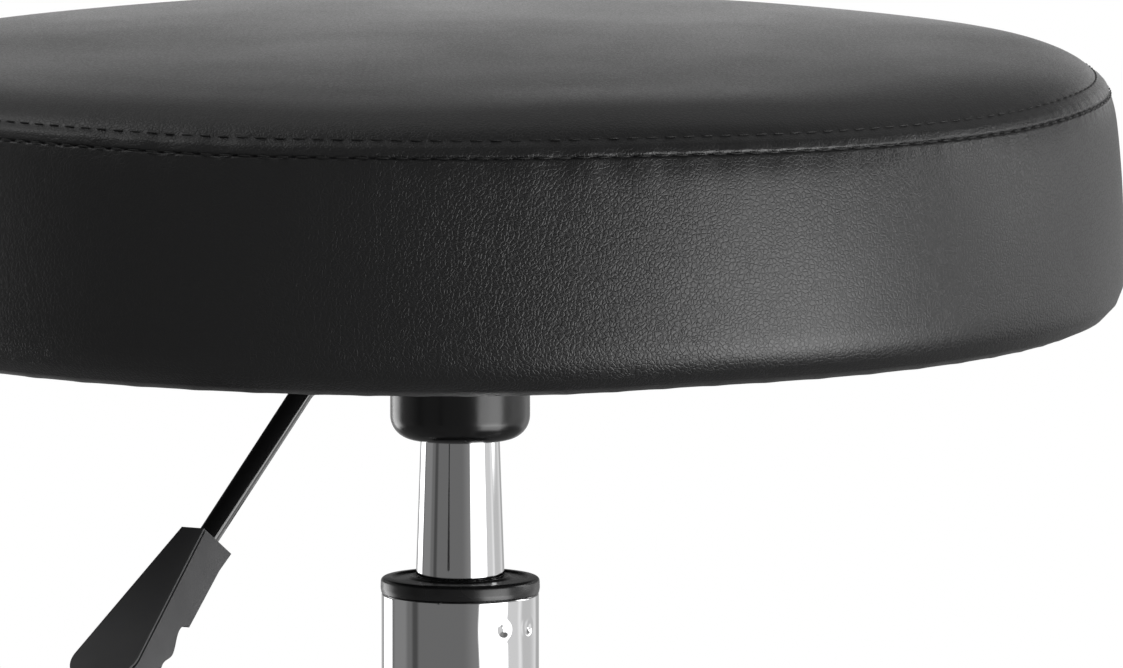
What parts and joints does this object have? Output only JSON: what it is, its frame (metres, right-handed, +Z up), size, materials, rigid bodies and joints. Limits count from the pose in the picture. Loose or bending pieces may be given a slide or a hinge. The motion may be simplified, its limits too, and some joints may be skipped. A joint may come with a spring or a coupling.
{
  "type": "drum throne",
  "caption": "Round padded stool seat on a chromed gas-lift column with a release lever and a five-legged base on fixed feet.",
  "frame": {"origin": "on the floor, on the column's axis", "axes": "+Z up along the column; the release lever points along -X, under the sitter's right hand, and the sitter faces -Y"},
  "size_m": [0.5044, 0.4822, 0.4595],
  "materials": {
    "seat_vinyl": "fine pebble grain, soft sheen",
    "seat_foam": "open-cell moulded foam",
    "plywood": "birch plywood, unfinished",
    "dust_cloth": "black spun-bonded cloth",
    "bright_chrome": "polished chrome plate",
    "black_enamel": "gloss black enamel",
    "ring_plastic": "gloss black acetal",
    "handle_plastic": "fine spark-eroded texture",
    "foot_plastic": "black moulded nylon",
    "sole_rubber": "matt black rubber",
    "zinc_steel": "bright zinc plate",
    "ground_steel": "ground and hardened",
    "turned_aluminium": "as turned"
  },
  "bodies": {
    "stand": {"base_hub": "bright_chrome", "leg_1": "bright_chrome", "leg_2": "bright_chrome", "leg_3": "bright_chrome", "leg_4": "bright_chrome", "leg_5": "bright_chrome", "leg_plugs": "foot_plastic", "foot_sleeves": "zinc_steel", "foot_stems": "zinc_steel", "foot_bell_1": "foot_plastic", "foot_bell_2": "foot_plastic", "foot_bell_3": "foot_plastic", "foot_bell_4": "foot_plastic", "foot_bell_5": "foot_plastic", "foot_pad_1": "sole_rubber", "foot_pad_2": "sole_rubber", "foot_pad_3": "sole_rubber", "foot_pad_4": "sole_rubber", "foot_pad_5": "sole_rubber", "stand_tube": "bright_chrome", "tube_end_plate": "zinc_steel", "guide_bush": "ring_plastic", "bearing_race_lower": "ground_steel"},
    "rod": {"piston_rod": "ground_steel", "piston": "turned_aluminium", "piston_seal": "sole_rubber", "piston_nut": "zinc_steel", "rod_bumper": "sole_rubber", "bearing_race_upper": "ground_steel", "rod_washer": "zinc_steel", "rod_clip": "zinc_steel"},
    "bearing": {"ball_cage": "foot_plastic", "bearing_balls": "ground_steel"},
    "seat": {"seat_cover_top": "seat_vinyl", "seat_cover_band": "seat_vinyl", "seat_foam": "seat_foam", "seat_board": "plywood", "seat_dust_cover": "dust_cloth", "seat_staples": "zinc_steel", "seat_tee_nuts": "zinc_steel", "seat_plate": "black_enamel", "plate_screws": "zinc_steel", "plate_washers": "zinc_steel", "socket_housing": "black_enamel", "taper_sleeve": "zinc_steel", "lever_bracket": "black_enamel", "lever_pivot_pin": "zinc_steel", "gas_cylinder": "bright_chrome", "valve_body": "turned_aluminium", "pressure_tube": "ground_steel", "rod_guide": "turned_aluminium", "rod_seal": "sole_rubber"},
    "button": {"release_button": "ground_steel"},
    "lever": {"lever_rod": "black_enamel", "lever_handle": "handle_plastic"}
  },
  "joints": [
    {"name": "seat_swivel", "type": "hinge", "parent": "stand", "child": "rod", "pos_m": [0, 0, 0.06], "axis": [0, 0, 1], "continuous": true},
    {"name": "bearing_roll", "type": "hinge", "parent": "stand", "child": "bearing", "pos_m": [0, 0, 0.06], "axis": [0, 0, 1], "continuous": true},
    {"name": "seat_lift", "type": "slide", "parent": "rod", "child": "seat", "axis": [0, 0, 1], "range_m": [0, 0.12]},
    {"name": "lever_pull", "type": "hinge", "parent": "seat", "child": "lever", "pos_m": [-0.03, 0, 0.357], "axis": [0, 1, 0], "range_deg": [0, 5], "stiffness_Nm_per_rad": 2, "springref_deg": -2.86},
    {"name": "button_press", "type": "slide", "parent": "seat", "child": "button", "axis": [0, 0, 1], "range_m": [-0.003, 0]}
  ],
  "couplings": [
    {"joint": "bearing_roll", "follows": "seat_swivel", "ratio": 0.5},
    {"joint": "button_press", "follows": "lever_pull", "m_per_rad": -0.03}
  ]
}
